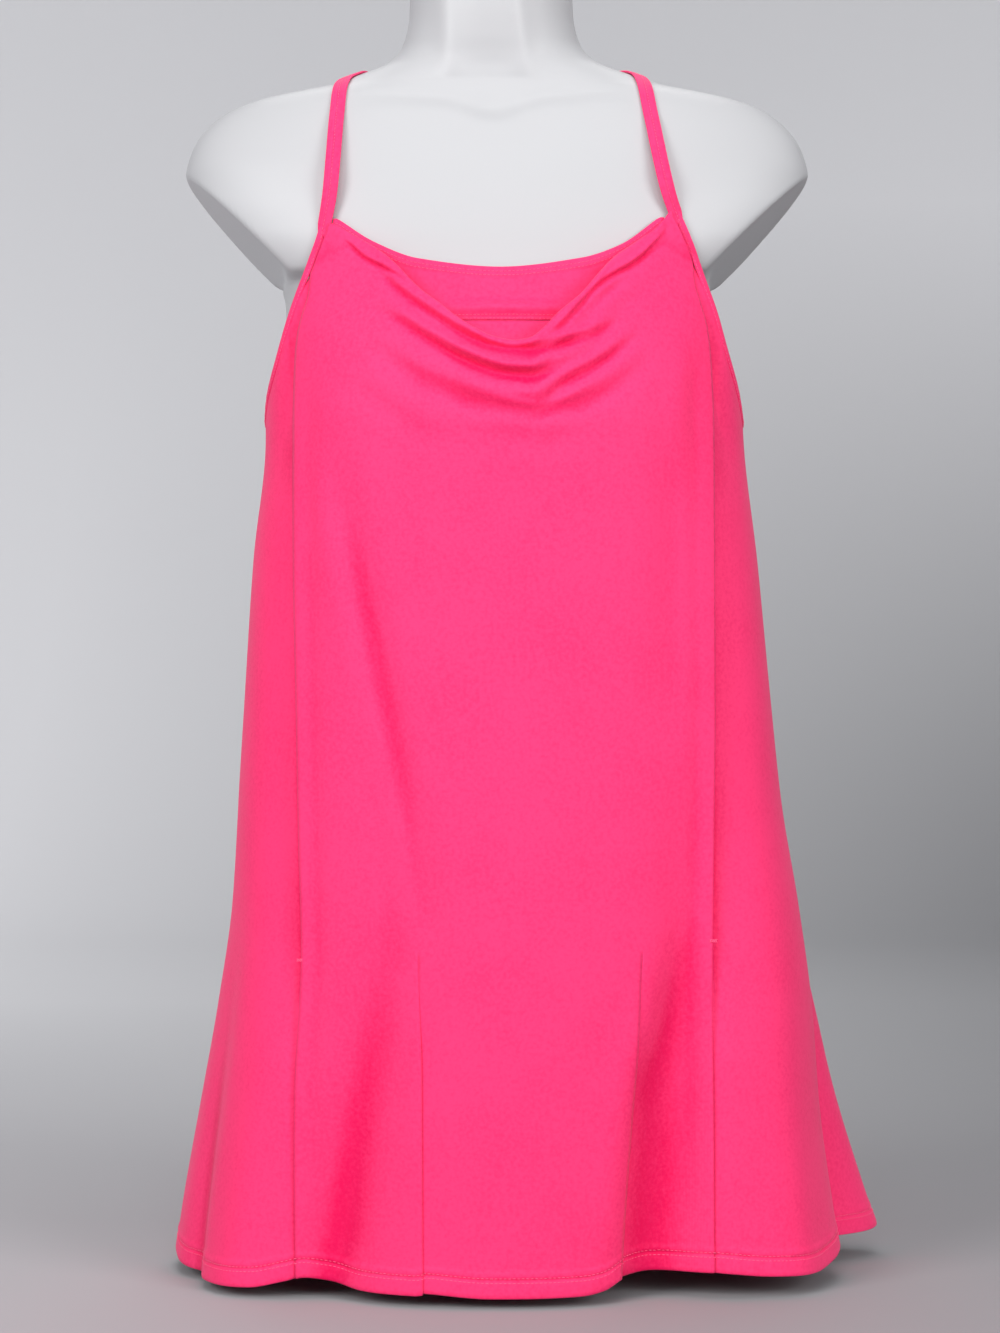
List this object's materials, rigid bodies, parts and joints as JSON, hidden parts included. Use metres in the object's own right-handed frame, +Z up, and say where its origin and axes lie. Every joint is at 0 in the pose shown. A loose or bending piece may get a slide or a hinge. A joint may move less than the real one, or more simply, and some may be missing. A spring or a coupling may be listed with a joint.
{
  "type": "athletic tank top on a dress form",
  "caption": "Hot pink swing tank top with narrow straps, a draped cowl front and a vented hem, worn by a smooth white limbless dress form.",
  "frame": {"origin": "middle of the dress form's flat base", "axes": "+Z up the form, the chest faces -Y, +X is to the viewer's right seen from the front"},
  "size_m": [0.4725, 0.2689, 0.875],
  "materials": {
    "jersey": "matte hot pink knit jersey",
    "inner_jersey": "matte hot pink knit jersey, in the shade",
    "form_shell": "satin white moulded plastic"
  },
  "bodies": {
    "root": {"dress_form": "form_shell", "front_panel": "jersey", "side_panel_left": "jersey", "side_panel_right": "jersey", "back_panel": "jersey", "inner_front_top": "inner_jersey", "inner_front_foot": "inner_jersey", "armhole_binding_left": "jersey", "armhole_binding_right": "jersey", "strap_left": "jersey", "strap_right": "jersey"}
  },
  "joints": []
}
